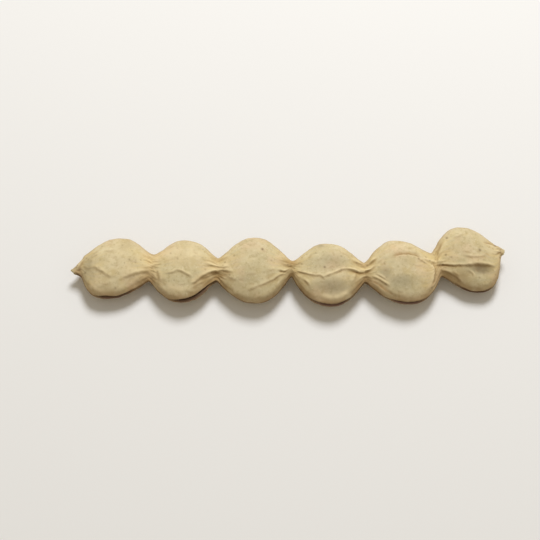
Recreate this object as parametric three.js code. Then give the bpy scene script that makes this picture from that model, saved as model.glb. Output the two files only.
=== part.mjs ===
// A dried babul pod: six flat, lens-shaped beads in a row, joined by narrow necks, grown as one piece.
// It lies on its flat side along X. Two valves make it, and they meet in a seam that runs round the edge.
// Millimetres, +Z up. The origin is on the surface that it lies on, under the middle of its box.
import * as THREE from "three";

// The necks from -X to +X, each with its notch in the upper (+Y) and in the lower (-Y) edge, as [x, y]. The
// first and last are the roots of the two broken ends.
const NECKS = [
  { top: [-48.7, 3.4], bottom: [-48.7, -2.6] },
  { top: [-32.2, 3.5], bottom: [-33.2, -3.1] },
  { top: [-16.9, 2.4], bottom: [-17.2, -3.3] },
  { top: [0.5, 1.7], bottom: [0.3, -2.3] },
  { top: [17.4, 1.0], bottom: [17.4, -3.6] },
  { top: [33.4, 3.4], bottom: [35.2, -2.0] },
  { top: [49.5, 5.6], bottom: [49.5, 2.0] },
];

// The bead between each two necks: where its upper and lower edge reach furthest, as [x, y], half its
// thickness, how far it leans about X in degrees, and how far its underside stays off the surface. taper is
// how slim its outline runs out to the left neck and to the right one, along its upper and its lower edge.
const BEADS = [
  {
    top: [-40.2, 7.7],
    bottom: [-43.0, -7.6],
    half: 2.9,
    lean: 1,
    lift: 0,
    taper: { top: [1.45, 1.7], bottom: [0.7, 1.2] },
  },
  {
    top: [-24.9, 7.0],
    bottom: [-25.4, -8.7],
    half: 3.05,
    lean: 0,
    lift: 0.25,
    taper: { top: [2.0, 1.4], bottom: [1.3, 1.4] },
  },
  {
    top: [-8.6, 7.8],
    bottom: [-8.1, -8.9],
    half: 3.2,
    lean: 0,
    lift: 0,
    taper: { top: [1.6, 1.5], bottom: [1.1, 1.2] },
  },
  {
    top: [8.9, 6.4],
    bottom: [9.3, -9.8],
    half: 3.05,
    lean: -2,
    lift: 0,
    taper: { top: [1.7, 1.5], bottom: [1.1, 1.2] },
  },
  {
    top: [24.6, 6.9],
    bottom: [27.4, -9.2],
    half: 3.15,
    lean: 1,
    lift: 0.3,
    taper: { top: [1.4, 1.5], bottom: [1.3, 0.8] },
  },
  {
    top: [40.2, 10.4],
    bottom: [44.0, -5.9],
    half: 2.85,
    lean: 5,
    lift: 0,
    taper: { top: [1.1, 1.8], bottom: [1.9, 0.45] },
  },
];

// The tips of the broken ends.
const LEFT_TIP = { x: -51.4, top: -0.2, bottom: -2.4 };
const RIGHT_TIP = { x: 50.8, top: 5.0, bottom: 3.0 };

const NECK_HALF = 1.15; // half the thickness of a neck
const TIP_HALF = 0.85; // half the thickness at a broken tip
const CREST_POWER = 2.3; // how flat a bead's outline is where it is widest
const SWELL_TAPER = 0.95; // how slim a bead's thickness runs out to the neck
const SECTION_POWER = 2.2; // 2 makes each cross-section an ellipse, and more makes it fuller
const SEAM_DEPTH = 0.35; // how deep the seam is cut into the edge
const FLAT_DEPTH = 0.15; // how much of each resting bead is pressed flat under it

const STEPS_A_BEAD = 18; // cross-sections along each bead
const CROWDING = 0.09; // how much closer they stand near the necks than in the middle
const STEPS_A_TIP = 3; // cross-sections along each broken end
const SIDES = 32; // corners round each cross-section

// From 1 where a bead is widest (u = 0) to 0 at the neck (u = 1).
const swell = (u, taper) => (1 - u ** CREST_POWER) ** taper;

// Where along X a neck is.
const neckX = (neck) => (neck.top[0] + neck.bottom[0]) / 2;

// The pod's edge on that side at x: out of the neck on the left, through the bead's widest point, and into
// the neck on the right.
function edge(x, side) {
  const i = NECKS.findIndex((neck) => x < neck[side][0]) - 1;
  const widest = BEADS[i][side];
  const [neck, taper] = x < widest[0] ? [NECKS[i][side], 0] : [NECKS[i + 1][side], 1];
  const u = (x - widest[0]) / (neck[0] - widest[0]);
  return neck[1] + (widest[1] - neck[1]) * swell(u, BEADS[i].taper[side][taper]);
}

// The corners of one cross-section about its middle, as [y, z]. The seam is at the first one and half-way.
function section(halfWidth, halfThick, lean) {
  const corners = [];
  const a = THREE.MathUtils.degToRad(lean);
  for (let i = 0; i < SIDES; i++) {
    const turn = (2 * Math.PI * i) / SIDES;
    const round = (c) => Math.sign(c) * Math.abs(c) ** (2 / SECTION_POWER);
    const seam = i % (SIDES / 2) === 0 ? SEAM_DEPTH : 0;
    const y = (halfWidth - seam) * round(Math.cos(turn));
    const z = halfThick * round(Math.sin(turn));
    corners.push([y * Math.cos(a) - z * Math.sin(a), y * Math.sin(a) + z * Math.cos(a)]);
  }
  return corners;
}

const lowest = (corners) => Math.min(...corners.map(([, z]) => z));

// How high a bead's middle is, with its underside pressed FLAT_DEPTH into the surface, or lifted off it.
function middleHeight(bead) {
  const halfWidth = (bead.top[1] - bead.bottom[1]) / 2;
  return bead.lift - FLAT_DEPTH - lowest(section(halfWidth, bead.half, bead.lean));
}

// A value that runs smoothly from a to b as t goes from 0 to 1.
const ease = (a, b, t) => THREE.MathUtils.lerp(a, b, THREE.MathUtils.smoothstep(t, 0, 1));

// The cross-sections along one bead, from its left neck up to just short of its right one.
function beadSections(i) {
  const bead = BEADS[i];
  const [left, right] = [neckX(NECKS[i]), neckX(NECKS[i + 1])];
  const middle = (bead.top[0] + bead.bottom[0]) / 2;
  const found = [];
  for (let k = 0; k < STEPS_A_BEAD; k++) {
    const t = k / STEPS_A_BEAD;
    const x = THREE.MathUtils.lerp(left, right, t - CROWDING * Math.sin(2 * Math.PI * t));
    const beside = BEADS[x < middle ? i - 1 : i + 1] ?? bead;
    const u = (x - middle) / ((x < middle ? left : right) - middle);
    found.push({
      x,
      top: edge(x, "top"),
      bottom: edge(x, "bottom"),
      half: NECK_HALF + (bead.half - NECK_HALF) * swell(u, SWELL_TAPER),
      lean: ease(bead.lean, (bead.lean + beside.lean) / 2, u),
      z: ease(middleHeight(bead), (middleHeight(bead) + middleHeight(beside)) / 2, u),
    });
  }
  return found;
}

// The cross-sections of a broken end, from its tip to its root.
function tipSections(tip, root, bead) {
  const found = [];
  for (let k = 0; k <= STEPS_A_TIP; k++) {
    const t = k / STEPS_A_TIP;
    found.push({
      x: THREE.MathUtils.lerp(tip.x, neckX(root), t),
      top: ease(tip.top, root.top[1], t),
      bottom: ease(tip.bottom, root.bottom[1], t),
      half: THREE.MathUtils.lerp(TIP_HALF, NECK_HALF, t),
      lean: bead.lean,
      z: middleHeight(bead),
    });
  }
  return found;
}

function podGeometry() {
  const sections = [
    ...tipSections(LEFT_TIP, NECKS[0], BEADS[0]).slice(0, -1),
    ...BEADS.flatMap((_, i) => beadSections(i)),
    ...tipSections(RIGHT_TIP, NECKS.at(-1), BEADS.at(-1)).reverse(),
  ];
  const points = [];
  for (const s of sections) {
    for (const [y, z] of section((s.top - s.bottom) / 2, s.half, s.lean))
      points.push(s.x, (s.top + s.bottom) / 2 + y, Math.max(0, s.z + z));
  }
  const faces = [];
  const corner = (row, i) => row * SIDES + (i % SIDES);
  for (let row = 0; row + 1 < sections.length; row++) {
    for (let i = 0; i < SIDES; i++) {
      const [a, b, c, d] = [corner(row, i), corner(row, i + 1), corner(row + 1, i), corner(row + 1, i + 1)];
      faces.push(a, b, c, b, d, c);
    }
  }
  for (const row of [0, sections.length - 1]) {
    const s = sections[row];
    const centre = points.length / 3;
    points.push(s.x, (s.top + s.bottom) / 2, s.z);
    for (let i = 0; i < SIDES; i++) {
      const [a, b] = [corner(row, i), corner(row, i + 1)];
      faces.push(...(row === 0 ? [centre, b, a] : [centre, a, b]));
    }
  }
  const geometry = new THREE.BufferGeometry();
  geometry.setAttribute("position", new THREE.Float32BufferAttribute(points, 3));
  geometry.setIndex(faces);
  geometry.computeBoundingBox();
  const middle = geometry.boundingBox.getCenter(new THREE.Vector3());
  geometry.translate(-middle.x, -middle.y, 0);
  geometry.computeVertexNormals();
  return geometry;
}

// Dry, downy and cream: no gloss at all.
const husk = new THREE.MeshStandardMaterial({ color: "#cdbd8c", roughness: 0.95, metalness: 0 });

const pod = new THREE.Mesh(podGeometry(), husk);
pod.name = "pod";

const group = new THREE.Group();
group.add(pod);

export default group;
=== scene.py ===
import math
from collections import namedtuple

import bpy
import numpy as np
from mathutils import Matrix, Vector


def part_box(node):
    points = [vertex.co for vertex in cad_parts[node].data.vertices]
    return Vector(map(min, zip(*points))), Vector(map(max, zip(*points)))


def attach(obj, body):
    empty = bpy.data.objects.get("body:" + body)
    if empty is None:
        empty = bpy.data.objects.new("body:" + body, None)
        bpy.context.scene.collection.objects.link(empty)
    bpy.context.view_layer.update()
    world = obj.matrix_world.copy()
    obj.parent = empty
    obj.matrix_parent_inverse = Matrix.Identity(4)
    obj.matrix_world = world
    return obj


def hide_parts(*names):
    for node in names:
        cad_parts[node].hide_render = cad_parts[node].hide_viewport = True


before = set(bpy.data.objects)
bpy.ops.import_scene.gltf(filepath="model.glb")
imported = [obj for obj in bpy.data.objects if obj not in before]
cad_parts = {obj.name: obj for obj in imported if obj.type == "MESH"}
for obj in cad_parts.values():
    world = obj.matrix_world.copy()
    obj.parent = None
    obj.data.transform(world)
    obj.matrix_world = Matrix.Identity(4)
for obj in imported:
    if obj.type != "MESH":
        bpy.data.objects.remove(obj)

MM = 0.001
UPPER, UNDER = 1, -1  # the pod's two faces
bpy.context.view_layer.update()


# ---- the pod's driving dimensions

# The necks from -X to +X, each with its notch in the upper and in the lower edge, as (x, y). The first and
# last are the roots of the torn ends.
Neck = namedtuple("Neck", "top bottom")
NECKS = [
    Neck((-48.7, 3.4), (-48.7, -2.6)),
    Neck((-32.2, 3.5), (-33.2, -3.1)),
    Neck((-16.9, 2.4), (-17.2, -3.3)),
    Neck((0.5, 1.7), (0.3, -1.8)),
    Neck((17.4, 1.0), (17.4, -3.6)),
    Neck((33.4, 3.4), (35.2, -2.0)),
    Neck((49.5, 5.6), (49.5, 2.0)),
]

# The bead between each two necks: where its upper and its lower edge reach furthest, half its thickness, its
# lean about X in degrees, how far it is raised from lying pressed flat, and how slim its outline runs out to
# the left neck and to the right one, along its upper edge and then along its lower edge.
Bead = namedtuple("Bead", "top bottom half lean lift tapers")
BEADS = [
    Bead((-40.2, 7.7), (-43.0, -7.6), 2.9, 1, 0, ((1.45, 1.7), (0.7, 1.2))),
    Bead((-24.9, 7.0), (-25.4, -8.7), 3.05, 0, 0.25, ((2.0, 1.4), (1.3, 1.4))),
    Bead((-8.6, 7.8), (-8.1, -8.9), 3.2, 0, 0, ((1.6, 1.5), (1.1, 1.1))),
    Bead((8.9, 6.4), (9.3, -9.8), 3.05, -2, 0, ((1.7, 1.5), (1.0, 1.2))),
    Bead((24.6, 6.9), (27.4, -9.2), 3.15, 1, 0.3, ((1.4, 1.5), (1.3, 0.8))),
    Bead((40.2, 10.4), (44.0, -5.9), 2.85, 5, 0, ((1.1, 1.8), (1.9, 0.45))),
]

# The tips of the torn ends: x, upper edge, lower edge.
Tip = namedtuple("Tip", "x top bottom")
LEFT_TIP = Tip(-51.4, -0.5, -1.2)
RIGHT_TIP = Tip(50.7, 4.8, 3.6)

NECK_HALF = 1.15  # half the thickness of a neck
TIP_HALF = 0.5  # half the thickness at a torn tip
TEAR_POWER = 0.55  # under 1, a torn end narrows most beside its bead
CREST_POWER = 2.3  # how flat a bead's outline is where it is widest
SWELL_TAPER = 0.95  # how slim a bead's thickness runs out to the neck
SECTION_POWER = 2.2  # 2 makes each cross-section an ellipse, and more makes it fuller
FLAT_DEPTH = 0.15  # how much of each resting bead is pressed flat under it
ROOM_FOR_FOLDS = 0.15  # how much thinner the skin starts, so that its folds fit the solid's box

STATIONS = 580  # cross-sections from tip to tip
FINE_STATIONS = 8 * STATIONS  # the places that they are picked from
CROWDING = 0.5  # how far they crowd together where the outline is steep
SOFTEN = 0.3  # how far the rule's outline is rounded off along the pod

CORNERS = 166  # corners round each cross-section
FINE_CORNERS = 7200  # the places that they are picked from
COARSE_CORNERS = 720  # and those where a bead's lowest point is looked for
SEAM_CROWDING = 1.6  # how much closer the corners are beside the two seams

CUP_DEPTH = 0.6  # how deep each torn end is hollow
CUP_STEPS = 8  # cross-sections down into it
CUP_RIM = 0.4  # the share of them that turn in over the torn rim
CUP_SLOPE = (0.1875, 0.8125)  # the shares of them between which it goes down
CUP_FLOOR = 0.04  # how far the last of them stays open
WALL = 0.35  # how thick the husk is at the torn rim


# ---- small helpers


def smoothstep(t):
    t = np.clip(t, 0, 1)
    return t * t * (3 - 2 * t)


def bell(d, reach):
    """1 at d = 0, and nearly 0 at twice the reach."""
    return np.exp(-((d / reach) ** 2))


def hollow(t):
    """0 up to t = 0, 1 at t = 1, and fading slowly away beyond it."""
    t = np.clip(t, 0, None)
    return t * np.exp(1 - t)


def window(x, start, end, ramp):
    """1 between start and end, falling to 0 over the ramp inside each of them."""
    return smoothstep((x - start) / ramp) * smoothstep((end - x) / ramp)


def ripple(seed, x, y):
    """Smooth noise between -1 and 1 over x and y, with a new value at each whole number."""
    cells = 64  # it repeats after as many of them
    table = np.random.default_rng(seed).uniform(-1, 1, (cells, cells))
    i, j = np.floor(x).astype(int), np.floor(y).astype(int)
    a, b = smoothstep(x - i), smoothstep(y - j)
    i, j, next_i, next_j = i % cells, j % cells, (i + 1) % cells, (j + 1) % cells
    low = table[i, j] * (1 - a) + table[next_i, j] * a
    high = table[i, next_j] * (1 - a) + table[next_i, next_j] * a
    return low * (1 - b) + high * b


def add(tree, kind, settings=None, inputs=None):
    """Adds a node. Each input is a value, an output to link, or a node to link by its first output."""
    node = tree.nodes.new(kind)
    for name, value in (settings or {}).items():
        setattr(node, name, value)
    for name, value in (inputs or {}).items():
        if isinstance(value, bpy.types.Node):
            value = value.outputs[0]
        if isinstance(value, bpy.types.NodeSocket):
            tree.links.new(value, node.inputs[name])
        else:
            node.inputs[name].default_value = value
    return node


MULTIPLY = {"operation": "MULTIPLY"}


def put_in_scene(name, data):
    thing = bpy.data.objects.new(name, data)
    bpy.context.scene.collection.objects.link(thing)
    return thing


def linear(hex_colour):
    """An sRGB hex colour as the linear RGBA that a shader takes."""
    parts = [int(hex_colour[i : i + 2], 16) / 255 for i in (1, 3, 5)]
    return [c / 12.92 if c <= 0.04045 else ((c + 0.055) / 1.055) ** 2.4 for c in parts] + [1.0]


# ---- the rule that gives the pod's shape


def swell(u, taper):
    """From 1 where a bead is widest (u = 0) to 0 at the neck (u = 1)."""
    return (1 - np.clip(np.abs(u), 0, 1) ** CREST_POWER) ** taper


def neck_x(neck):
    return (neck.top[0] + neck.bottom[0]) / 2


def edge(x, side):
    """The pod's upper edge (side 0) or lower edge (side 1) at each x between its two end necks."""
    y = np.zeros_like(x)
    for left, right, bead in zip(NECKS, NECKS[1:], BEADS):
        here = (x >= left[side][0]) & (x <= right[side][0])
        widest_x, widest_y = bead[side]
        on_left = x[here] < widest_x
        notch_x = np.where(on_left, left[side][0], right[side][0])
        notch_y = np.where(on_left, left[side][1], right[side][1])
        u = (x[here] - widest_x) / (notch_x - widest_x)
        y[here] = notch_y + (widest_y - notch_y) * swell(u, np.where(on_left, *bead.tapers[side]))
    return y


def unit_corner(turn):
    """A corner of a cross-section one across and one thick, at that angle: how far across, how far up."""
    across = np.sign(np.cos(turn)) * np.abs(np.cos(turn)) ** (2 / SECTION_POWER)
    up = np.sign(np.sin(turn)) * np.abs(np.sin(turn)) ** (2 / SECTION_POWER)
    return across, up


def middle_height(bead):
    """How high a bead's middle is, with its underside pressed into the surface or lifted off it."""
    across, up = unit_corner(np.linspace(0, 2 * math.pi, COARSE_CORNERS + 1))
    a = math.radians(bead.lean)
    half_width = (bead.top[1] - bead.bottom[1]) / 2
    lowest = np.min(across * half_width * math.sin(a) + up * bead.half * math.cos(a))
    return bead.lift - FLAT_DEPTH - lowest


def cross_sections(x):
    """The upper and lower edge, half thickness, lean and middle height of the pod at each x."""
    top, bottom = edge(x, 0), edge(x, 1)
    half, lean, height = (np.zeros_like(x) for _ in range(3))
    for i, bead in enumerate(BEADS):
        left, right = neck_x(NECKS[i]), neck_x(NECKS[i + 1])
        here = (x >= left) & (x <= right)
        middle = (bead.top[0] + bead.bottom[0]) / 2
        on_left = x[here] < middle
        u = (x[here] - middle) / (np.where(on_left, left, right) - middle)
        before, after = BEADS[max(i - 1, 0)], BEADS[min(i + 1, len(BEADS) - 1)]
        lean_beside = np.where(on_left, before.lean, after.lean)
        height_beside = np.where(on_left, middle_height(before), middle_height(after))
        half[here] = NECK_HALF + (bead.half - NECK_HALF) * swell(u, SWELL_TAPER)
        lean[here] = bead.lean + (lean_beside - bead.lean) / 2 * smoothstep(u)
        height[here] = middle_height(bead) + (height_beside - middle_height(bead)) / 2 * smoothstep(u)
    for tip, root, bead, beyond in (
        (LEFT_TIP, NECKS[0], BEADS[0], x < neck_x(NECKS[0])),
        (RIGHT_TIP, NECKS[-1], BEADS[-1], x > neck_x(NECKS[-1])),
    ):
        t = (x[beyond] - neck_x(root)) / (tip.x - neck_x(root))
        top[beyond] = root.top[1] + (tip.top - root.top[1]) * t**TEAR_POWER
        bottom[beyond] = root.bottom[1] + (tip.bottom - root.bottom[1]) * t**TEAR_POWER
        half[beyond] = NECK_HALF + (TIP_HALF - NECK_HALF) * t
        lean[beyond] = bead.lean
        height[beyond] = middle_height(bead)
    return top, bottom, half, lean, height


def soften(values, spacing):
    """The same values, rounded off along the pod under a bell curve that ends at three times SOFTEN."""
    reach = int(round(3 * SOFTEN / spacing))
    weights = bell(np.arange(-reach, reach + 1) * spacing, SOFTEN * math.sqrt(2))
    padded = np.pad(values, reach, mode="edge")
    return np.convolve(padded, weights / weights.sum(), mode="valid")


def stations():
    """The x, edges, half thickness, lean and height of each cross-section. They crowd on steep outlines."""
    fine = np.linspace(LEFT_TIP.x, RIGHT_TIP.x, FINE_STATIONS)
    spacing = fine[1] - fine[0]
    values = [soften(v, spacing) for v in cross_sections(fine)]
    steepness = np.maximum(*(np.hypot(1, np.gradient(v, spacing)) for v in values[:2]))
    passed = np.cumsum(1 + CROWDING * (steepness - 1))
    x = np.interp(np.linspace(passed[0], passed[-1], STATIONS), passed, fine)
    return [x] + [np.interp(x, fine, v) for v in values]


def cup(end_line, end_size, inward):
    """The line and sizes of the cross-sections that turn in over a torn rim and go down into its hollow."""
    t = np.linspace(0, 1, CUP_STEPS + 1)[1:, None]
    start, stop = CUP_SLOPE
    line = np.tile(end_line, (CUP_STEPS, 1))
    line[:, :1] += inward * CUP_DEPTH * smoothstep((t - start) / (stop - start))
    sizes = np.tile(end_size, (CUP_STEPS, 1))
    inner = 1 - WALL / sizes[:, :2]
    over_rim = 1 - (1 - inner) * t / CUP_RIM
    down_cup = inner * np.maximum(1 - t, CUP_FLOOR) / (1 - CUP_RIM)
    sizes[:, :2] *= np.where(t < CUP_RIM, over_rim, down_cup)
    return line, sizes


def spine():
    """The line that the skin is swept round, and its half width, half thickness and lean along it."""
    x, top, bottom, half, lean, height = stations()
    line = np.stack([x, (top + bottom) / 2, height], axis=1)
    sizes = np.stack([(top - bottom) / 2, half - ROOM_FOR_FOLDS / 2, np.radians(lean)], axis=1)
    left_line, left_sizes = cup(line[0], sizes[0], 1)
    right_line, right_sizes = cup(line[-1], sizes[-1], -1)
    line = np.concatenate([left_line[::-1], line, right_line])
    sizes = np.concatenate([left_sizes[::-1], sizes, right_sizes])
    return line, sizes


def corner_turns():
    """The angle of each corner round a cross-section. They crowd together at the two seams."""
    half_width, half_thick, seam_reach = 8.0, 3.0, 0.9
    turn = np.linspace(0, 2 * math.pi, FINE_CORNERS + 1)
    across, up = unit_corner(turn)
    step = np.hypot(np.diff(across) * half_width, np.diff(up) * half_thick)
    from_seam = np.abs(up[:-1]) * half_thick
    density = step * (1 + SEAM_CROWDING * bell(from_seam, seam_reach))
    total = np.concatenate([[0], np.cumsum(density)])
    return np.interp(np.arange(CORNERS) / CORNERS * total[-1], total, turn)


# ---- the skin, swept by Geometry Nodes

SHRIVEL_HEIGHT = 0.45  # how much the dried skin rises and sinks, as a whole
SHRIVEL_SIZE = 5.5  # and how far apart the rises are

# What the tree that sweeps the skin is given.
SKIN_INPUTS = {
    "Geometry": "NodeSocketGeometry",
    "Cross Section": "NodeSocketObject",
    "Shrivel Height": "NodeSocketFloat",
    "Shrivel Size": "NodeSocketFloat",
    "Husk": "NodeSocketMaterial",
}


def mesh_object(name, points, edges=(), faces=(), attributes=None):
    """A mesh in the scene, with attributes that hold a number or a vector for each point."""
    mesh = bpy.data.meshes.new(name)
    mesh.from_pydata([tuple(p) for p in points], edges, faces)
    for key, values in (attributes or {}).items():
        values = np.asarray(values, np.float32)
        kind, field = ("FLOAT", "value") if values.ndim == 1 else ("FLOAT_VECTOR", "vector")
        mesh.attributes.new(key, kind, "POINT").data.foreach_set(field, values.ravel())
    return put_in_scene(name, mesh)


def grown(source, tree, settings, name):
    """What the tree makes of the source, as a plain mesh object. The source is removed."""
    modifier = source.modifiers.new(tree.name, "NODES")
    modifier.node_group = tree
    for socket in tree.interface.items_tree:
        if socket.in_out == "INPUT" and socket.name in settings:
            modifier[socket.identifier] = settings[socket.name]
    evaluated = source.evaluated_get(bpy.context.evaluated_depsgraph_get())
    mesh = bpy.data.meshes.new_from_object(evaluated)
    mesh.name = name
    bpy.data.objects.remove(source)
    return put_in_scene(name, mesh)


def skin_tree():
    """Sweeps a unit cross-section along the spine, sizes and places each ring, and shrivels the skin."""
    tree = bpy.data.node_groups.new("husk_skin", "GeometryNodeTree")
    tree.interface.new_socket("Geometry", in_out="OUTPUT", socket_type="NodeSocketGeometry")
    for label, kind in SKIN_INPUTS.items():
        tree.interface.new_socket(label, in_out="INPUT", socket_type=kind)
    given = add(tree, "NodeGroupInput").outputs
    ring = add(tree, "GeometryNodeObjectInfo", {}, {"Object": given["Cross Section"]})
    ring_curve = add(tree, "GeometryNodeMeshToCurve", {}, {"Mesh": ring.outputs["Geometry"]})
    spine_curve = add(tree, "GeometryNodeMeshToCurve", {}, {"Mesh": given["Geometry"]})
    sweep = {"Curve": spine_curve, "Profile Curve": ring_curve, "Fill Caps": True}
    swept = add(tree, "GeometryNodeCurveToMesh", {}, sweep)
    line, size, corner = (
        add(tree, "GeometryNodeInputNamedAttribute", {"data_type": "FLOAT_VECTOR"}, {"Name": name})
        for name in ("line", "size", "corner")
    )
    size_of = add(tree, "ShaderNodeSeparateXYZ", {}, {"Vector": size}).outputs
    corner_of = add(tree, "ShaderNodeSeparateXYZ", {}, {"Vector": corner}).outputs
    across = add(tree, "ShaderNodeMath", MULTIPLY, {0: corner_of["X"], 1: size_of["X"]})
    up = add(tree, "ShaderNodeMath", MULTIPLY, {0: corner_of["Y"], 1: size_of["Y"]})
    upright = add(tree, "ShaderNodeCombineXYZ", {}, {"Y": across, "Z": up})
    lean = {"Vector": upright, "Angle": size_of["Z"]}
    leaning = add(tree, "ShaderNodeVectorRotate", {"rotation_type": "X_AXIS"}, lean)
    place = add(tree, "ShaderNodeVectorMath", {"operation": "ADD"}, {0: leaning, 1: line})
    rings = add(tree, "GeometryNodeSetPosition", {}, {"Geometry": swept, "Position": place})
    spacing = add(tree, "ShaderNodeMath", {"operation": "DIVIDE"}, {0: 1.0, 1: given["Shrivel Size"]})
    pattern = add(tree, "ShaderNodeTexNoise", {}, {"Scale": spacing})
    centred = add(tree, "ShaderNodeMath", {"operation": "SUBTRACT"}, {0: pattern, 1: 0.5})
    height = add(tree, "ShaderNodeMath", MULTIPLY, {0: centred, 1: given["Shrivel Height"]})
    outward = add(tree, "GeometryNodeInputNormal")
    push = add(tree, "ShaderNodeVectorMath", {"operation": "SCALE"}, {0: outward, "Scale": height})
    shrivelled = add(tree, "GeometryNodeSetPosition", {}, {"Geometry": rings, "Offset": push})
    painted = add(tree, "GeometryNodeSetMaterial", {}, {"Geometry": shrivelled, "Material": given["Husk"]})
    add(tree, "NodeGroupOutput", {}, {"Geometry": painted})
    return tree


def swept_skin(husk):
    """The pod's smooth skin, before it is folded."""
    line, size = spine()
    count = len(line)
    straight = [(i * MM, 0, 0) for i in range(count)]
    source = mesh_object(
        "spine",
        straight,
        edges=[(i, i + 1) for i in range(count - 1)],
        attributes={"line": line * MM, "size": size * [MM, MM, 1], "row": np.arange(count)},
    )
    turn = corner_turns()
    corners = np.stack([*unit_corner(turn), np.zeros(CORNERS)], axis=1)
    section = mesh_object(
        "cross_section",
        corners * MM,
        edges=[(i, (i + 1) % CORNERS) for i in range(CORNERS)],
        attributes={"corner": corners, "turn": turn},
    )
    settings = {
        "Cross Section": section,
        "Shrivel Height": SHRIVEL_HEIGHT * MM,
        "Shrivel Size": SHRIVEL_SIZE * MM,
        "Husk": husk,
    }
    skin = grown(source, skin_tree(), settings, "babul_pod")
    bpy.data.objects.remove(section)
    return skin


# ---- folds, dents and wrinkles

# A fold: its crest's points from -X to +X, how high and how wide the crest is, how strongly the hollow beside
# it is painted brown as shade, and the side that drops away into that hollow (-1 its lower side, 1 its upper
# side, 0 neither).
Fold = namedtuple("Fold", "crest height width brown drop", defaults=(-1,))

FIRST_BEAD = [
    # a shallow V of two crests
    Fold([(-46.5, 0), (-43.5, -1.9), (-41, -3.6)], 0.13, 0.4, 0.12),
    Fold([(-40, -3.8), (-37, -2.3), (-34.5, -1.3), (-31.5, -1)], 0.14, 0.42, 0.1),
    # low swellings along its middle and its lower side
    Fold([(-44, 1.5), (-40, 2.3), (-36, 2)], 0.06, 2.4, 0, 0),
    Fold([(-46.5, -4.3), (-44, -5.5), (-41, -5.8), (-38, -5.3)], 0.08, 0.6, 0, 0),
    # the edge of the grey facet beside the torn end, and the lip of the tear
    Fold([(-48, -3.5), (-46.5, -0.5), (-46.5, 2.5)], 0.06, 0.6, 0, 1),
    Fold([(-50.5, -1), (-49.5, 0.5), (-48.5, 2.5)], 0.14, 0.3, 0.2),
]
SECOND_BEAD = [
    # a crooked crest
    Fold([(-29.5, -2.5), (-27.5, -2.3), (-26, -1.8), (-22.3, -3.6)], 0.17, 0.28, 0.15),
    # the deep fold that runs on over the neck, and the smaller one under it
    Fold([(-23.5, -5.5), (-20.5, -3), (-18.5, -1.7), (-16.5, -1.2), (-12.8, -2.2)], 0.26, 0.42, 0.45),
    Fold([(-23.5, -6.2), (-19.5, -3.8)], 0.11, 0.34, 0.25),
    # low swellings along its middle and its lower side
    Fold([(-30, 1.5), (-25.5, 2), (-20.5, 1.5)], 0.12, 2.6, 0, 0),
    Fold([(-29.5, -5.3), (-27, -6.4), (-24, -6.6), (-21.5, -6.2)], 0.1, 0.6, 0, 0),
    # a fold that curves down beside the left neck
    Fold([(-31.5, -1), (-30.5, -2.3), (-30, -5)], 0.12, 0.42, 0.28),
]
THIRD_BEAD = [
    # one long low fold, and the hooked crest beside the right neck
    Fold([(-10.5, -6.8), (-5, -4.5), (-2.5, -2.6), (-0.5, -2)], 0.09, 0.24, 0.38),
    Fold([(-3.5, -1.2), (-1.5, -1.5), (0, -0.5)], 0.15, 0.28, 0.3),
    # a soft fold out of the left neck
    Fold([(-17.5, -1.5), (-14, -3), (-12, -4.5)], 0.1, 0.48, 0.22),
]
FOURTH_BEAD = [
    # a crest with a hook at its end, and a second one that deepens into the neck
    Fold([(1, -1.2), (5, -2.8), (7, -3), (8.5, -4.5)], 0.16, 0.26, 0.35),
    Fold([(6.8, -3.9), (9.5, -2.7), (13, -1.3), (16.5, -1.8)], 0.22, 0.21, 0.25),
    Fold([(13, -1.3), (16.5, -1.8), (19.5, -1)], 0.22, 0.28, 0.75),
    # folds that fan out of the left neck, and a crescent round a hollow
    Fold([(2.5, -3), (4, -4.5), (5, -6.5)], 0.11, 0.3, 0.25),
    Fold([(6.5, -7.8), (9.5, -8.4), (12.3, -7.6), (14, -6)], 0.14, 0.5, 0, 0),
    Fold([(14, -5), (15, -3), (15, -1)], 0.1, 0.3, 0.1),
]
FIFTH_BEAD = [
    # a crease along its upper side
    Fold([(23.5, 1.2), (26, 1.9), (28.5, 1.8), (30.8, 1.3)], 0.12, 0.22, 0.75, 1),
    # folds that fan out of the left neck, and a crescent below them
    Fold([(17.5, 0), (19, 0.8), (20.5, 2)], 0.16, 0.24, 0.35),
    Fold([(16.5, -1.5), (18.5, -1.2), (20, 0)], 0.16, 0.24, 0.45),
    Fold([(18.5, -2.5), (21, -4), (23.5, -6)], 0.2, 0.3, 0.15),
    Fold([(19.5, -2), (23, -4.5)], 0.12, 0.22, 0.15),
    Fold([(22.3, -5.8), (24, -7.3), (27, -7.9)], 0.11, 0.36, 0.06),
    Fold([(18.3, -3.8), (20, -5), (22.3, -7), (24.7, -8.4)], 0.12, 0.24, 0.4, 1),
    # the husk pinched into a rim beside the right neck
    Fold([(32.6, -5.6), (33.4, -2.8), (33.5, -0.8), (32.4, 1.2)], 0.18, 0.34, 0.35),
    Fold([(29.5, 1.5), (31.5, 0.5), (33, -0.5)], 0.08, 0.2, 0.2),
]
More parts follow.
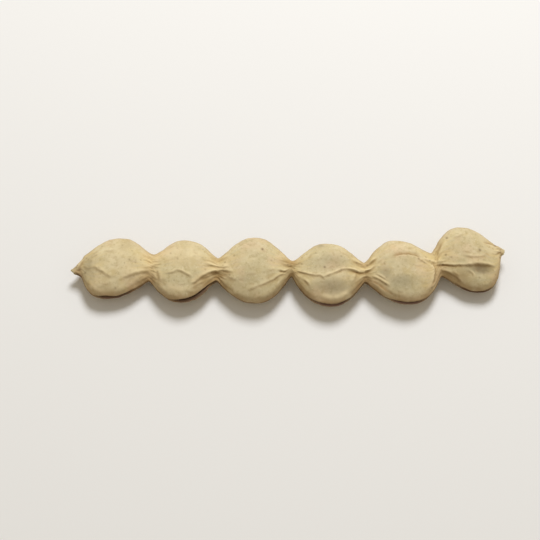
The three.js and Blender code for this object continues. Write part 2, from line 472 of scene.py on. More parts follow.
SIXTH_BEAD = [
    # a long crest, softer where it runs over a grey hollow
    Fold([(33, 0.2), (36, 0.4), (38.5, 0), (42.5, 0)], 0.2, 0.24, 0.65),
    Fold([(40.5, 0), (44.5, 0.2), (48.5, -0.2)], 0.19, 0.34, 0.35),
    # folds that fan out of the left neck below it
    Fold([(34.5, -0.7), (36.5, -1.1), (38.5, -2.3), (40.5, -4.2)], 0.17, 0.32, 0.5),
    Fold([(37.5, -1), (40, -3)], 0.12, 0.24, 0.25),
    Fold([(41, -1), (42.5, -2), (43, -3.5)], 0.12, 0.26, 0.15),
    # low puckers above it
    Fold([(40, 2.6), (42.5, 2), (45, 2.1), (46, 3.2)], 0.09, 0.28, 0.2),
    # the lip above the torn end, and two folds that meet at it
    Fold([(45, 5.4), (47.6, 5.1), (49.6, 4.4)], 0.16, 0.26, 0.6, 1),
    Fold([(48, 2.9), (49.4, 3.9), (50.5, 3.3)], 0.12, 0.22, 0.7),
]
# The ridges that run through the necks, and the shoulder at the sixth bead's left.
NECK_RIDGES = [
    Fold([(-35.5, -1), (-33.5, -0.3), (-30.5, 0.4)], 0.12, 0.42, 0.15),
    Fold([(-20.5, 0.4), (-16.5, -0.3), (-13.5, -0.9)], 0.16, 0.45, 0.12),
    Fold([(-2.5, 0.7), (-0.5, 0.1), (3, 0.9)], 0.12, 0.42, 0.18),
    Fold([(14, 1.9), (16, 0.5), (18.3, 0.5)], 0.14, 0.3, 0.25),
    Fold([(31, 1.8), (33, 0.9), (36.5, 1.2)], 0.16, 0.32, 0.15),
    Fold([(34.6, 1.6), (35.4, 4), (36.8, 6.5)], 0.12, 0.35, 0.3, 1),
]
FOLDS = FIRST_BEAD + SECOND_BEAD + THIRD_BEAD + FOURTH_BEAD + FIFTH_BEAD + SIXTH_BEAD + NECK_RIDGES

# How a fold is shaped across, in widths of its crest.
GENTLE_REACH = 2.4  # how far its gentle side runs out
GENTLE_POWER = 1.4  # 2 makes it a bell curve, less a sharper crest
STEEP_REACH = 0.9  # how far its steep side drops away
HOLLOW_START = 0.3  # where the hollow on that side starts
HOLLOW_REACH = 1.1  # and how much further on it is deepest
HOLLOW_DEPTH = 0.35  # its depth, as a share of the crest's height
FOOT_REACH = 0.85  # how wide the dark line along the foot is
FOLD_REACH = 9  # how far out it ends, fading over the outer half
FOLD_WANDER = 0.3  # how far the crest wanders from its line
# And how it is shaped along.
FOLD_FADE = 1.8  # it sinks away over as many millimetres at its ends
FADE_SHARE = 0.45  # or over this share of its length, if that is less
FOLD_UNEVEN = 0.35  # how much higher or lower it gets on its way
CREST_HIGHLIGHT_HEIGHT = 0.2  # from this height up, its crest gets the full painted highlight

# A dent: its middle, its half length along X and Y, its depth (a bump if negative), and how grey and how
# brown it is painted: mostly painted shade in its hollow, partly the husk's own tone.
Dent = namedtuple("Dent", "middle half_size depth grey brown")

DENTS = [
    Dent((-36.5, -3.7), (2.4, 1.3), 0.14, 0.2, 0.1),
    Dent((-47.3, -0.8), (1.8, 3.2), 0.1, 0.55, 0.1),
    Dent((-31, -0.7), (0.5, 0.4), -0.12, 0, 0),
    Dent((-25, -4.5), (2.4, 1.6), 0.08, 0.12, 0),
    Dent((-19.5, -4), (2.2, 1.3), 0.18, 0, 0.75),
    Dent((-16.5, -2.6), (2, 0.8), 0.1, 0, 0.8),
    Dent((-17, 1.2), (2.2, 0.9), 0.04, 0, 0.4),
    Dent((-9, 6), (5, 2), 0, 0.14, 0),
    Dent((-10.5, -4), (3.2, 2), 0.08, 0.2, 0),
    Dent((-2.2, -1.9), (0.4, 0.25), 0.16, 0.2, 0.8),
    Dent((0.5, -2), (2.4, 0.8), 0.08, 0, 0.5),
    Dent((0, 0.8), (2.4, 1), 0.05, 0, 0.95),
    Dent((9.8, -6), (4.3, 2), 0.3, 0.65, 0.1),
    Dent((9.5, 0.5), (4.5, 2.2), 0.06, 0.4, 0),
    Dent((7.3, 5.2), (1, 0.5), 0.06, 0.45, 0),
    Dent((15.8, -4.2), (1.1, 2.4), 0.05, 0, 0.45),
    Dent((17.5, 0.2), (2.2, 0.9), 0.04, 0, 0.5),
    Dent((22, -2.6), (1.6, 1.4), 0.14, 0.5, 0.05),
    Dent((27.3, -3.1), (0.45, 0.3), -0.16, 0, 0),
    Dent((25.8, -4.8), (3.4, 1.9), 0.12, 0.5, 0),
    Dent((28, 0), (3.4, 1.2), 0.06, 0.15, 0),
    Dent((44.6, -1.3), (2.6, 1.2), 0.6, 1, 0.25),
    Dent((39.5, -2.6), (3.4, 1.6), 0.14, 0.15, 0.5),
    Dent((43, 1.4), (3.6, 1), -0.1, 0, 0),
]

DENT_POWER = 2.4  # 2 makes it a bell curve, more a flatter floor

# A dark speck: its middle, how wide it is, and how dark.
Speck = namedtuple("Speck", "middle width dark")

SPECKS = [
    Speck((-50.5, -2), 0.7, 0.7),
    Speck((-49.5, -0.5), 0.9, 0.6),
    Speck((-39.5, 5), 0.4, 0.4),
    Speck((-26.5, 4), 0.4, 0.3),
    Speck((-6.5, 3.7), 0.55, 0.9),
    Speck((-0.6, 0.1), 0.35, 0.6),
    Speck((0.9, -0.6), 0.35, 0.6),
    Speck((6, 3), 0.45, 0.5),
    Speck((8, -1), 0.5, 0.9),
    Speck((12, 2), 0.4, 0.5),
    Speck((15.5, 0.5), 0.4, 0.5),
    Speck((30, 1.2), 0.4, 0.8),
    Speck((31.8, 1.9), 0.35, 0.6),
    Speck((32.6, 1), 0.35, 0.7),
    Speck((33, 0.2), 0.35, 0.6),
    Speck((36.5, 2.5), 0.5, 0.7),
    Speck((37, 7), 0.5, 0.8),
    Speck((44.5, 3.5), 0.55, 0.9),
    Speck((48.5, 5.5), 0.5, 0.9),
    Speck((49.5, 2.3), 0.5, 0.8),
]
SPECK_DEPTH = 0.05

# Where the valves gape along the lower edge: from x to x, how wide the gap is, and how far above the middle
# of the edge the seam rides there.
Gape = namedtuple("Gape", "start end gap rise")

GAPES = [
    Gape(-47, -34.5, 0.28, 0.55),
    Gape(-29.5, -16.5, 0.4, 0.75),
    Gape(3.5, 15.5, 0.1, 0.6),
    Gape(21, 33, 0.14, 0.7),
    Gape(37.5, 49, 0.24, 0.4),
]

# What is scattered over the pod. Each pair is the least and the most.
CREASES_A_NECK = 14  # fine creases that fan out of each neck
END_CREASES = 5  # and those at each torn end
CREASE_REACH = 4.2  # how far they run from the neck at most
CREASE_HEIGHT, CREASE_WIDTH, CREASE_SHADE = (0.02, 0.07), (0.16, 0.28), (0.02, 0.15)
PUCKERS_A_BEAD = 9  # short faint puckers on each bead
PUCKER_LENGTH, PUCKER_HEIGHT, PUCKER_WIDTH = (1.0, 3.4), (0.02, 0.06), (0.2, 0.35)
PUCKER_FROM_NECK = 3  # how far their middles keep from the necks
PUCKER_SHADE = 0.1
FRECKLES_A_NECK = 16  # small brown pits round each neck
FRECKLE_WIDTH, FRECKLE_DARK = (0.25, 0.48), (0.15, 0.6)
FRECKLE_SPREAD = 3.2  # how far they scatter from it
SHARE_ACROSS = 0.8  # the share of the pod's width that they all keep to

NECK_REACH = 2.6  # how far the wrinkles and the colour of a neck run out from it
END_SHARE = 0.4  # how strong they are at a torn end
WRINKLE_HEIGHT = 0.045  # the ridges that run through a neck
FINE_WRINKLE_HEIGHT = 0.025  # the finer ones between them
NECK_PIT_DEPTH = 0.03
STREAK_REACH = 4.5  # how far the pale streaks run from each neck

RING_DEPTH = 0.06  # how deep the husk sinks round each seed, before it rises to the margin
RING_PLACE = 0.8  # where that is, as a share of the way out to the margin
RING_WIDTH = 0.09  # how wide the ring is, as a share of that way too
RING_RISE = 0.6  # how high the husk rises outside it, as a share of its depth

# The unevenness of the whole husk, from coarse to fine: how high, and how many in a millimetre.
CRINKLES = [(0.055, 0.55), (0.032, 1.4), (0.014, 3.1)]

SEAM_DEPTH = 0.22  # how deep the seam is cut into the edge
SEAM_WANDER = 0.2  # how far it wanders up and down along the edge
SEAM_REACH = 0.16  # how far the groove spreads to each side
LIP_HEIGHT = 0.09  # how far the lips beside it stand out
LIP_FROM_SEAM = 0.45  # and how far they are from it
LIP_WIDTH = 0.22  # how far they spread
SEAM_DARK_REACH = 0.24  # how far its dark line spreads
MARGIN_REACH = 1.7  # how far the margin's brown, deepened by painted shade on the lower edge, reaches
RIM_SHADE_REACH = 1.0  # how far the upper edge's pinkish-grey rim of painted shade reaches
LIP_REACH, GAPING_LIP_REACH = 1.4, 1.6  # and the reddish lower lip in painted shade, shut and gaping

# How each end is torn: which way the pod lies from it along X, at what angle round the rim a tongue of husk
# is left, and how far the rim opposite is torn back.
Tear = namedtuple("Tear", "inward tongue depth")
LEFT_TEAR = Tear(1, math.radians(45), 0.7)
RIGHT_TEAR = Tear(-1, math.radians(72), 0.4)
TONGUE_REACH = 2.4  # how far round the rim the tongue slopes away to each side, in radians
TEAR_ROWS = 12  # cross-sections that are torn back with the rim
FRAYED_ROWS = 2.5  # and those that are frayed
# The ragged edge of a tear: how far it goes in and out, and how closely round the rim.
RAGS = [(0.12, 3.0), (0.07, 8.0)]


def smooth_line(points, steps=6):
    """A smooth curve through the points, as many short steps."""
    p = np.array(points, float)
    p = np.concatenate([[2 * p[0] - p[1]], p, [2 * p[-1] - p[-2]]])
    t = (np.arange(steps) / steps)[:, None]
    found = []
    for a, b, c, d in zip(p[:-3], p[1:-2], p[2:-1], p[3:]):
        bend, twist = 2 * a - 5 * b + 4 * c - d, 3 * b - a - 3 * c + d
        found.append(0.5 * (2 * b + (c - a) * t + bend * t**2 + twist * t**3))
    return np.concatenate(found + [p[[-2]]])


def beside_line(at, line):
    """Each point's distance to the line, positive on its upper side, and how far along it that is, in mm."""
    start, run = line[:-1], np.diff(line, axis=0)
    length = np.hypot(run[:, 0], run[:, 1])
    passed = np.concatenate([[0], np.cumsum(length)])
    away = at[:, None, :] - start[None]
    t = np.clip((away * run).sum(2) / length**2, 0, 1)
    miss = away - t[..., None] * run
    distance = np.hypot(miss[..., 0], miss[..., 1])
    nearest = distance.argmin(1)
    rows = np.arange(len(at))
    side = run[nearest, 0] * away[rows, nearest, 1] - run[nearest, 1] * away[rows, nearest, 0]
    along = passed[nearest] + t[rows, nearest] * length[nearest]
    return distance[rows, nearest] * np.sign(side), along, passed[-1]


def fold_shape(d, width, drop):
    """A fold 1 high, at a distance d from its crest: its height, and how near its foot and hollow are."""
    if drop == 0:
        return bell(d, width), np.zeros_like(d), np.zeros_like(d)
    down = d * drop
    gentle = np.exp(-(np.abs(d / (GENTLE_REACH * width)) ** GENTLE_POWER))
    steep = bell(d, STEEP_REACH * width)
    sunk = hollow((down - HOLLOW_START * width) / (HOLLOW_REACH * width))
    height = np.where(down > 0, steep, gentle) - HOLLOW_DEPTH * sunk
    return height, bell(down - width, FOOT_REACH * width), sunk


def under_point(x, y):
    """Where a point of the upper face lands on the underside, with the pod turned end for end."""
    other_x = LEFT_TIP.x + RIGHT_TIP.x - x
    # a whole x has its edges cut to whole millimetres, which moves the point a little
    top, bottom = (v[0] for v in cross_sections(np.array([x]))[:2])
    other_top, other_bottom = (v[0] for v in cross_sections(np.array([other_x]))[:2])
    share = (y - bottom) / (top - bottom)
    return other_x, other_bottom + share * (other_top - other_bottom)


def turned_over(folds):
    """The same folds for the underside: end for end, and moved to where each bead lies."""
    return [fold._replace(crest=[under_point(x, y) for x, y in reversed(fold.crest)]) for fold in folds]


def on_pod(x, share):
    """The points at those x, that share of the half width above the middle of the pod."""
    top, bottom = cross_sections(x)[:2]
    return (top + bottom) / 2 + share * (top - bottom) / 2


def along_neck(neck, share):
    """The x of a neck, that share of the way from its middle to its upper notch."""
    return neck_x(neck) + share * (neck.top[0] - neck.bottom[0]) / 2


def neck_creases(seed):
    """Fine creases that run out of each neck and fan over the beads beside it."""
    rng = np.random.default_rng(seed)
    creases = []
    for neck in NECKS:
        for _ in range(END_CREASES if neck in (NECKS[0], NECKS[-1]) else CREASES_A_NECK):
            share = rng.uniform(-SHARE_ACROSS, SHARE_ACROSS) + rng.normal(0, 0.03, 5)
            reach = CREASE_REACH * rng.uniform(0.1, 1, 2) ** 1.5
            start, end = along_neck(neck, share[0]) + reach * [-1, 1]
            x = np.linspace(max(start, LEFT_TIP.x + 0.4), min(end, RIGHT_TIP.x - 0.4), 5)
            height, width = rng.uniform(*CREASE_HEIGHT), rng.uniform(*CREASE_WIDTH)
            drop, brown = rng.choice([-1, -1, 1]), rng.uniform(*CREASE_SHADE)
            creases.append(Fold(list(zip(x, on_pod(x, share))), height, width, brown, drop))
    return creases


def bead_puckers(seed):
    """Short faint puckers scattered over the beads."""
    rng = np.random.default_rng(seed)
    puckers = []
    for left, right in zip(NECKS, NECKS[1:]):
        for _ in range(PUCKERS_A_BEAD):
            middle = rng.uniform(neck_x(left) + PUCKER_FROM_NECK, neck_x(right) - PUCKER_FROM_NECK)
            x = middle + np.linspace(-0.5, 0.5, 4) * rng.uniform(*PUCKER_LENGTH)
            share = rng.uniform(-SHARE_ACROSS, SHARE_ACROSS) + np.cumsum(rng.normal(0, 0.05, 4))
            height, width = rng.uniform(*PUCKER_HEIGHT), rng.uniform(*PUCKER_WIDTH)
            drop = rng.choice([-1, 1])
            puckers.append(Fold(list(zip(x, on_pod(x, share))), height, width, PUCKER_SHADE, drop))
    return puckers


def neck_freckles(seed):
    """Small brown pits scattered round each neck."""
    rng = np.random.default_rng(seed)
    found = []
    for neck in NECKS:
        for _ in range(FRECKLES_A_NECK):
            share = rng.uniform(-SHARE_ACROSS, SHARE_ACROSS)
            x = along_neck(neck, share) + rng.normal(0, FRECKLE_SPREAD)
            x = np.clip(x, LEFT_TIP.x + 1, RIGHT_TIP.x - 1)
            y = on_pod(np.array([x]), share)[0]
            found.append(Speck((x, y), rng.uniform(*FRECKLE_WIDTH), rng.uniform(*FRECKLE_DARK)))
    return found


class Skin:
    """The skin's points and their tints while it is worked, in millimetres."""

    def __init__(self, thing):
        self.mesh = thing.data
        self.count = len(self.mesh.vertices)
        self.place = self.read("position") / MM
        self.line = self.read("line") / MM
        self.half_width, self.half_thick = (self.read("size")[:, :2] / MM).T
        self.across, self.up = self.read("corner")[:, :2].T
        self.turn, self.row = self.read("turn"), self.read("row")
        self.lift = np.zeros(self.count)
        self.tints = {}
        x = self.line[:, 0]
        from_necks = np.abs([x - along_neck(neck, self.across) for neck in NECKS])
        self.from_neck = from_necks.min(axis=0)
        at_end = np.isin(from_necks.argmin(axis=0), (0, len(NECKS) - 1))
        self.neck = bell(self.from_neck, NECK_REACH) * np.where(at_end, END_SHARE, 1)
        self.edge_side = 9 * np.sign(self.across)  # each edge reads its own part of the noise
        wander = SEAM_WANDER * ripple(61, x * 0.3, self.edge_side)
        self.above_seam = self.up * self.half_thick + wander
        for gape in GAPES:
            self.above_seam -= gape.rise * self.gaping(gape)
        self.from_seam = np.hypot(self.above_seam, (1 - np.abs(self.across)) * self.half_width)
        normal = np.zeros(self.count * 3, np.float32)
        self.mesh.vertex_normals.foreach_get("vector", normal)
        self.normal = normal.reshape(-1, 3).astype(float)

    def read(self, name):
        attribute = self.mesh.attributes[name]
        width = {"FLOAT": 1, "FLOAT_VECTOR": 3}[attribute.data_type]
        values = np.zeros(self.count * width, np.float32)
        attribute.data.foreach_get("value" if width == 1 else "vector", values)
        return values.astype(float) if width == 1 else values.reshape(-1, 3).astype(float)

    def gaping(self, gape):
        """1 along the lower edge where the valves gape, falling to 0 at both ends and over the faces."""
        along = window(self.line[:, 0], gape.start, gape.end, 0.35 * (gape.end - gape.start))
        return along * smoothstep(-self.across * 4 - 2.4)

    def face(self, side):
        """1 over that face of the pod, falling to 0 at the seams."""
        return smoothstep((self.up * side - 0.05) / 0.25)

    def tint(self, name, values, where=slice(None)):
        """Lays a tint on, where it is stronger than what is there."""
        field = self.tints.setdefault(name, np.zeros(self.count))
        field[where] = np.maximum(field[where], values)


def press_folds(skin, folds, side):
    """Raises each fold on one face, with a painted highlight on its crest and painted shade below it."""
    on_face = skin.face(side)
    at = skin.place[:, :2]
    for number, (crest, height, width, brown, drop) in enumerate(folds):
        line = smooth_line(crest)
        reach = FOLD_REACH * width
        low, high = line.min(0) - reach, line.max(0) + reach
        near = np.where((on_face > 0) & np.all((at > low) & (at < high), axis=1))[0]
        d, along, length = beside_line(at[near], line)
        wander = FOLD_WANDER * width * ripple(7, at[near, 0] * 1.3, at[near, 1] * 1.3)
        shape, foot, sunk = fold_shape(d + wander, width, drop)
        fade = window(along, 0, length, min(FOLD_FADE, FADE_SHARE * length))
        fade *= smoothstep((reach - np.abs(d)) / (0.5 * reach))
        uneven = 1 + FOLD_UNEVEN * ripple(8, along * 0.9, 3.7 * number)
        weight = fade * uneven * on_face[near]
        skin.lift[near] += height * shape * weight
        # painted highlight along the crest of the fold
        pale = bell(d + 0.4 * width * drop, 1.1 * width) * min(1, height / CREST_HIGHLIGHT_HEIGHT)
        skin.tint("crest", pale * weight, near)
        # painted shade: a dark line along the foot of the fold and brown shade in the hollow beside it
        skin.tint("foot", math.sqrt(brown) * foot * weight, near)
        skin.tint("shade", brown * sunk * weight, near)


def press_dents(skin, dents, side):
    """Sinks each dent into one face of the pod, painting it grey and brown, mostly as painted shade."""
    on_face = skin.face(side)
    for (x, y), (long, wide), depth, grey, brown in dents:
        d = np.hypot((skin.place[:, 0] - x) / long, (skin.place[:, 1] - y) / wide)
        shape = np.exp(-(d**DENT_POWER)) * on_face
        skin.lift -= depth * shape
        # grey and brown painted shade in the dent, partly the husk's own tone
        skin.tint("grey", grey * shape)
        skin.tint("shade", brown * shape)


def add_specks(skin, specks, side):
    """Dark specks, each a shallow pit."""
    on_face = skin.face(side)
    for (x, y), width, dark in specks:
        shape = bell(np.hypot(skin.place[:, 0] - x, skin.place[:, 1] - y), width / 2) * on_face
        skin.lift -= SPECK_DEPTH * shape
        skin.tint("speck", dark * shape)


def wrinkle_necks(skin):
    """Fine ridges that run through each neck and fan out over the beads beside it."""
    fan = skin.across * 7 + np.where(skin.up < 0, 60, 40)  # each face reads its own part of the noise
    x = skin.line[:, 0]
    ridges = 1 - np.abs(ripple(21, fan * 1.6, x * 0.35)) * 2
    finer = ripple(22, fan * 3.1, x * 0.8)
    pits = ripple(23, skin.place[:, 0] * 2.2, skin.place[:, 1] * 2.2)
    strength = skin.neck * smoothstep(np.abs(skin.up) / 0.3)
    skin.lift += strength * (WRINKLE_HEIGHT * ridges + FINE_WRINKLE_HEIGHT * finer + NECK_PIT_DEPTH * pits)
    # painted shade in the troughs between the ridges and along each neck's lower side, where its yellow is
    # weaker too
    skin.tint("shade", strength * smoothstep(-ridges) * 0.3)
    lower_side = smoothstep(-skin.across * 1.4)
    skin.tint("shade", skin.neck * lower_side * 0.4)
    streaks = smoothstep(0.5 + ripple(24, fan * 4, x * 0.25))
    skin.tint("neck", skin.neck * (1 - 0.6 * lower_side) * (0.6 + 0.4 * streaks))
    skin.tint("neck", 0.8 * streaks * bell(skin.from_neck, STREAK_REACH) * (1 - 0.4 * lower_side))


def sink_round_seeds(skin):
    """The husk clings to each seed, sinks a little round it and rises again to the margin."""
    x = skin.line[:, 0]
    for number, (left, right, bead) in enumerate(zip(NECKS, NECKS[1:], BEADS)):
        middle = (bead.top[0] + bead.bottom[0]) / 2
        ends = along_neck(left, skin.across), along_neck(right, skin.across)
        u = (x - middle) / (np.where(x < middle, *ends) - middle)
        out = (np.abs(skin.across) ** 2.5 + np.clip(u, 0, 1) ** 2.5) ** 0.4
        patches = ripple(51 + number, skin.across * 1.5 + 9, x * 0.2 + 9 * (skin.up < 0))
        uneven = smoothstep(0.5 + 0.9 * patches)
        rise = bell(out - RING_PLACE - 0.12, 0.06)
        ring = bell(out - RING_PLACE, RING_WIDTH) - RING_RISE * rise
        skin.lift -= np.where((x > ends[0]) & (x < ends[1]), RING_DEPTH * ring * uneven, 0)


def crinkle(skin):
    """The shallow unevenness of a dry husk, over the whole skin."""
    x, y = skin.place[:, 0], skin.place[:, 1] + np.where(skin.up < 0, 30, 0)
    for number, (height, closeness) in enumerate(CRINKLES):
        skin.lift += height * ripple(31 + number, x * closeness, y * closeness)


def cut_seam(skin):
    """The groove between the two valves with a lip on each side, gaping along some of the lower edge."""
    skin.lift -= SEAM_DEPTH * bell(skin.from_seam, SEAM_REACH)
    lips = bell(skin.from_seam - LIP_FROM_SEAM, LIP_WIDTH)
    lips -= 0.7 * bell(skin.from_seam - 2.2 * LIP_FROM_SEAM, 0.25)
    skin.lift += LIP_HEIGHT * (0.5 + 0.5 * skin.neck) * lips
    lower = smoothstep(0.5 - 2 * skin.across)
    # the seam's own dark reddish line, darker along the lower edge as painted shade
    darker = (0.5 + 0.4 * ripple(62, skin.line[:, 0] * 0.9, skin.edge_side)) * (0.6 + 0.4 * lower)
    skin.tint("seam", darker * bell(skin.from_seam, SEAM_DARK_REACH))
    # the margin's own brown, made stronger along the lower edge as painted shade
    skin.tint("margin", bell(skin.from_seam, MARGIN_REACH) * (0.3 + 0.7 * lower))
    # the upper edge in pinkish grey, darkened as painted shade
    skin.tint("rim", bell(skin.from_seam, RIM_SHADE_REACH) * (1 - lower))
    # the reddish lower lip under the seam, darkened as painted shade
    skin.tint("lip", 0.6 * bell(skin.from_seam, LIP_REACH) * lower * smoothstep(0.3 - skin.above_seam))
    for gape in GAPES:
        here = skin.gaping(gape)
        opening = here * bell(skin.above_seam, 0.5 * gape.gap)
        skin.place[:, 1] += 1.1 * gape.gap * opening
        lower_lip = here * bell(skin.above_seam + 0.9 * gape.gap, 0.6 * gape.gap)
        skin.place[:, 1] -= 0.3 * gape.gap * lower_lip
        # the gaping gap painted dark, as painted shade inside it
        skin.tint("seam", np.clip(1.6 * opening, 0, 1))
        # the lower lip where it gapes, in painted shade under the gap
        below = smoothstep(-skin.above_seam / gape.gap)
        skin.tint("lip", here * bell(skin.from_seam, GAPING_LIP_REACH) * below)


def tear_ends(skin):
    """Tears each end back to a tongue, and colours its rim and its hollow."""
    for end, tear in ((0, LEFT_TEAR), (skin.row.max(), RIGHT_TEAR)):
        rows_in = np.abs(skin.row - end)
        near_rim = bell(np.maximum(rows_in - CUP_STEPS, 0), TEAR_ROWS)
        away = np.abs(np.angle(np.exp(1j * (skin.turn - tear.tongue))))
        torn_back = tear.depth * smoothstep(away / TONGUE_REACH)
        for number, (height, closeness) in enumerate(RAGS):
            torn_back += height * ripple(41 + number, skin.turn * closeness, 3 + tear.inward)
        skin.place[:, 0] += tear.inward * np.clip(torn_back, 0, None) * near_rim
        skin.tint("frayed", bell(rows_in - CUP_STEPS, FRAYED_ROWS))
        skin.tint("torn", smoothstep((CUP_STEPS - 1 - rows_in) / 3))


def finish_skin(skin, offset):
    """Applies the sculpting, presses the pod on to its surface, and keeps the tints as attributes."""
    skin.place += skin.normal * skin.lift[:, None]
    skin.place[:, 2] = np.maximum(skin.place[:, 2], 0)
    metres = skin.place * MM + np.array(offset)
    skin.mesh.vertices.foreach_set("co", metres.astype(np.float32).ravel())
    for name, values in skin.tints.items():
        attribute = skin.mesh.attributes.new(name, "FLOAT", "POINT")
        attribute.data.foreach_set("value", np.clip(values, 0, 1).astype(np.float32))
    for name in ("line", "size", "corner", "turn", "row"):
        skin.mesh.attributes.remove(skin.mesh.attributes[name])
    skin.mesh.polygons.foreach_set("use_smooth", np.ones(len(skin.mesh.polygons), bool))
    skin.mesh.update()


def pod(husk):
    """The whole pod, as one piece."""
    thing = swept_skin(husk)
    skin = Skin(thing)
    press_folds(skin, FOLDS + neck_creases(seed=5) + bead_puckers(seed=6), UPPER)
    press_dents(skin, DENTS, UPPER)
    add_specks(skin, SPECKS + neck_freckles(seed=9), UPPER)
    press_folds(skin, turned_over(FOLDS) + neck_creases(seed=15) + bead_puckers(seed=16), UNDER)
    add_specks(skin, neck_freckles(seed=19), UNDER)
    wrinkle_necks(skin)
    sink_round_seeds(skin)
    crinkle(skin)
    cut_seam(skin)
    tear_ends(skin)
    low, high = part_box("pod")
    top, bottom = cross_sections(np.linspace(LEFT_TIP.x, RIGHT_TIP.x, STATIONS))[:2]
    middle = ((LEFT_TIP.x + RIGHT_TIP.x) / 2, (top.max() + bottom.min()) / 2)
    offset = ((low.x + high.x) / 2 - middle[0] * MM, (low.y + high.y) / 2 - middle[1] * MM, 0)
    finish_skin(skin, offset)
    return thing


# ---- materials

# The husk's colours, from the skin outwards: the colour, how strong it is, the tint that says where it lies
# (None for all over), how wide its patches are in millimetres, and how much of them shows. Patches under a
# millimetre stand for hairs of down, drawn coarser than they are so that they show.
Coat = namedtuple("Coat", "colour strength tint patch shows", defaults=(None, None))

HUSK_COLOUR = "#d3c39b"
COATS = [
    Coat("#b9a67a", 0.55, None, 4.5, (0.42, 0.68)),
    Coat("#bfa76c", 0.4, None, 2.4, (0.48, 0.68)),
    Coat("#e4d9b4", 0.35, None, 3.1, (0.5, 0.7)),
    Coat("#c2b68e", 0.5, None, 9.0, (0.45, 0.62)),
    Coat("#dcbf99", 0.45, None, 6.5, (0.48, 0.64)),
    Coat("#a8966a", 0.45, None, 0.7, (0.48, 0.72)),
    Coat("#e2d4b0", 0.45, None, 0.45, (0.52, 0.75)),
    Coat("#e2c888", 0.65, "neck"),
    # margin: the husk's own brown edge, with painted shade along the lower edge
    Coat("#a5835a", 0.75, "margin", 3.0, (0.15, 0.6)),
    # rim: painted shade along the upper edge, in pinkish grey
    Coat("#a8957a", 0.7, "rim"),
    # grey: painted shade in hollows and on facets turned from the light, partly the husk's own grey tone
    Coat("#746c55", 0.8, "grey"),
    # painted highlight on the fold crests
    Coat("#efdcae", 0.6, "crest"),
    # painted shade in fold hollows, dents and the troughs of neck wrinkles
    Coat("#8f6726", 0.65, "shade"),
    # painted shade along the foot of each fold
    Coat("#7d4f18", 0.6, "foot"),
    Coat("#543218", 0.85, "speck"),
    Coat("#ddcfa0", 0.8, "frayed", 0.45, (0.2, 0.6)),
    Coat("#806142", 1.0, "torn"),
    # lip: reddish brown, darkened as painted shade under the seam
    Coat("#6a4c43", 0.95, "lip"),
    # seam: its own dark reddish line, with painted shade in the gaping gap and along the lower edge
    Coat("#3c231b", 1.0, "seam"),
]
PATCH_SEED = 1  # another number gives other patches
DOWN_SPACING = 0.45  # how far apart the tufts of down stand
DOWN_DEPTH = 0.05  # how deep it is
SHEEN_COLOUR = "#f2ead2"


def husk_material():
    """Sun-dried legume husk, covered with fine grey-white down: no gloss, a soft pale bloom at its edges."""
    material = bpy.data.materials.new("dried_downy_husk")
    material.use_nodes = True
    tree = material.node_tree
    tree.nodes.clear()
    place = add(tree, "ShaderNodeTexCoord").outputs["Object"]
    colour = linear(HUSK_COLOUR)
    for number, coat in enumerate(COATS):
        amount = coat.strength
        if coat.tint:
            tint = add(tree, "ShaderNodeAttribute", {"attribute_name": coat.tint}).outputs["Fac"]
            amount = add(tree, "ShaderNodeMath", MULTIPLY, {0: tint, 1: amount})
        if coat.patch:
            pattern = {"Vector": place, "W": PATCH_SEED + number, "Scale": 1 / (coat.patch * MM), "Detail": 3}
            noise = add(tree, "ShaderNodeTexNoise", {"noise_dimensions": "4D"}, pattern)
            span = {"Value": noise, "From Min": coat.shows[0], "From Max": coat.shows[1]}
            shown = add(tree, "ShaderNodeMapRange", {"interpolation_type": "SMOOTHSTEP"}, span)
            amount = add(tree, "ShaderNodeMath", MULTIPLY, {0: shown, 1: amount})
        layers = {"Factor": amount, "A": colour, "B": linear(coat.colour)}
        colour = add(tree, "ShaderNodeMix", {"data_type": "RGBA"}, layers).outputs["Result"]
    hairs = {"Vector": place, "Scale": 1 / (DOWN_SPACING * MM), "Detail": 3, "Roughness": 0.6}
    down = add(tree, "ShaderNodeTexNoise", {}, hairs)
    relief = {"Strength": 0.5, "Distance": DOWN_DEPTH * MM, "Height": down}
    matt = add(tree, "ShaderNodeMapRange", {}, {"Value": down, "To Min": 0.8, "To Max": 1.0})
    finish = {
        "Base Color": colour,
        "Roughness": matt,
        "IOR": 1.45,
        "Specular IOR Level": 0.25,
        "Sheen Weight": 0.12,
        "Sheen Tint": linear(SHEEN_COLOUR),
        "Normal": add(tree, "ShaderNodeBump", {}, relief),
    }
    surface = add(tree, "ShaderNodeBsdfPrincipled", {}, finish)
    add(tree, "ShaderNodeOutputMaterial", {}, {"Surface": surface})
    return material


def floor_material():
    """Matt off-white studio board."""
    material = bpy.data.materials.new("studio_board")
    material.use_nodes = True
    surface = material.node_tree.nodes["Principled BSDF"]
    surface.inputs["Base Color"].default_value = linear(FLOOR_COLOUR)
    surface.inputs["Roughness"].default_value = 0.9
    return material


# ---- stage, light and camera

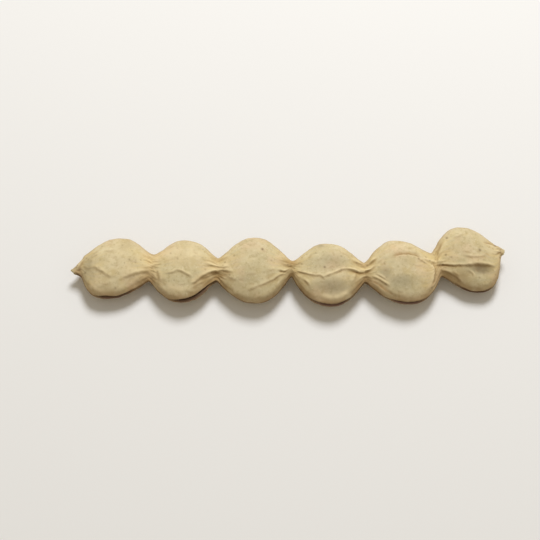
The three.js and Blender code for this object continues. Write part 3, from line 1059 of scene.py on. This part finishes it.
FLOOR_COLOUR = "#ecebe8"
FLOOR_HALF = 3.0  # metres
KEY_PLACE = (0.09, 0.5, 0.56)  # metres: the one lamp, behind the pod and high over it
KEY_WIDTH = 0.3  # metres
KEY_POWER = 5.1  # watts
KEY_COLOUR = "#f8faff"
SKY_COLOUR, SKY_STRENGTH = "#fff5e2", 0.4
VIEW_WIDTH = 126.9  # millimetres of the pod's plane across the picture
LENS, SENSOR = 80.0, 36.0  # millimetres
ELEVATION = 65  # degrees above the pod's plane
AIM = (-4.4, -0.8, 3.1)  # millimetres, in the object's frame
NEAREST = 0.01  # metres: nothing closer to the camera is drawn


def floor():
    h = FLOOR_HALF
    corners = [(-h, -h, 0), (h, -h, 0), (h, h, 0), (-h, h, 0)]
    board = mesh_object("floor", corners, faces=[(0, 1, 2, 3)])
    board.data.materials.append(floor_material())


def key_light():
    lamp = bpy.data.lights.new("key", "AREA")
    lamp.shape = "DISK"
    lamp.size = KEY_WIDTH
    lamp.energy = KEY_POWER
    lamp.color = linear(KEY_COLOUR)[:3]
    thing = put_in_scene("key", lamp)
    thing.location = KEY_PLACE
    thing.rotation_euler = Vector(KEY_PLACE).to_track_quat("Z", "Y").to_euler()


def sky():
    world = bpy.data.worlds.new("studio")
    world.use_nodes = True
    background = world.node_tree.nodes["Background"]
    background.inputs["Color"].default_value = linear(SKY_COLOUR)
    background.inputs["Strength"].default_value = SKY_STRENGTH
    bpy.context.scene.world = world
    bpy.context.scene.view_settings.view_transform = "Standard"


def camera():
    lens = bpy.data.cameras.new("camera")
    lens.lens = LENS
    lens.sensor_width = SENSOR
    lens.clip_start = NEAREST
    distance = VIEW_WIDTH * MM * LENS / SENSOR
    a = math.radians(ELEVATION)
    back = Vector((0, -math.cos(a), math.sin(a)))
    eye = put_in_scene("camera", lens)
    eye.location = Vector(AIM) * MM + back * distance
    eye.rotation_euler = back.to_track_quat("Z", "Y").to_euler()
    bpy.context.scene.camera = eye


# ---- the finished scene

camera()
key_light()
sky()
floor()

husk_piece = pod(husk_material())
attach(husk_piece, "root")
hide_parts("pod")
